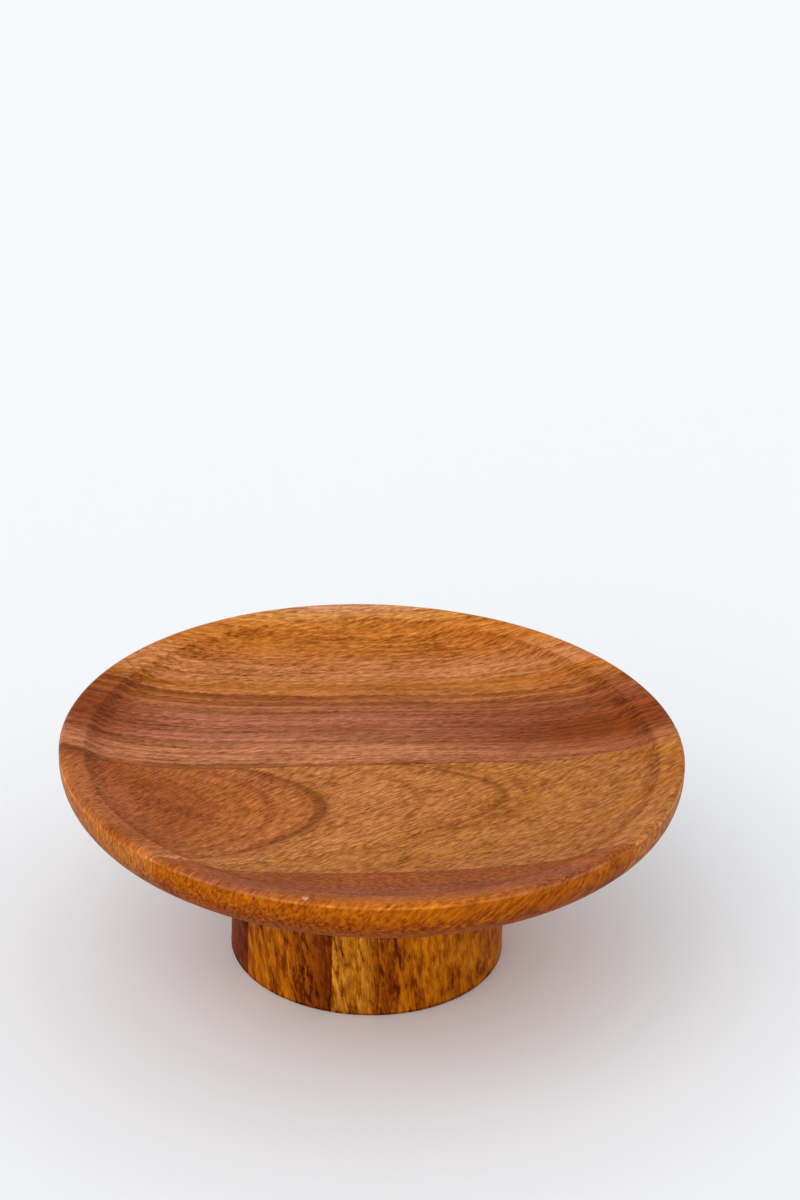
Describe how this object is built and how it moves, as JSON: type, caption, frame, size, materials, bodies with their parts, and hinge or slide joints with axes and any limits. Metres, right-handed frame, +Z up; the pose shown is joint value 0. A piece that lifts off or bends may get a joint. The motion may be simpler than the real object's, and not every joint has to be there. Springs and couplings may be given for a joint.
{
  "type": "cake stand",
  "caption": "Footed wooden cake stand: a round dished plate glued up from boards on a hollow turned drum pedestal, fixed with countersunk screws from below.",
  "frame": {"origin": "centre of the pedestal's foot, on the surface that the stand rests on", "axes": "+Z up along the turned axis, +X along the grain of the plate's boards"},
  "size_m": [0.3, 0.3, 0.1136],
  "materials": {
    "front_board_wood": "oiled satin",
    "middle_front_board_wood": "oiled satin",
    "middle_rear_board_wood": "oiled satin",
    "rear_board_wood": "oiled satin",
    "pedestal_wood": "oiled satin",
    "pedestal_dark_wood": "oiled satin",
    "screw_steel": "yellow zinc plated"
  },
  "bodies": {
    "root": {"plate_board_front": "front_board_wood", "plate_board_middle_front": "middle_front_board_wood", "plate_board_middle_rear": "middle_rear_board_wood", "plate_board_rear": "rear_board_wood", "pedestal_slab_edge": "pedestal_dark_wood", "pedestal_slab_left": "pedestal_wood", "pedestal_slab_middle": "pedestal_wood", "pedestal_slab_right": "pedestal_wood", "plate_screw_1": "screw_steel", "plate_screw_2": "screw_steel", "plate_screw_3": "screw_steel", "plate_screw_4": "screw_steel"}
  },
  "joints": []
}
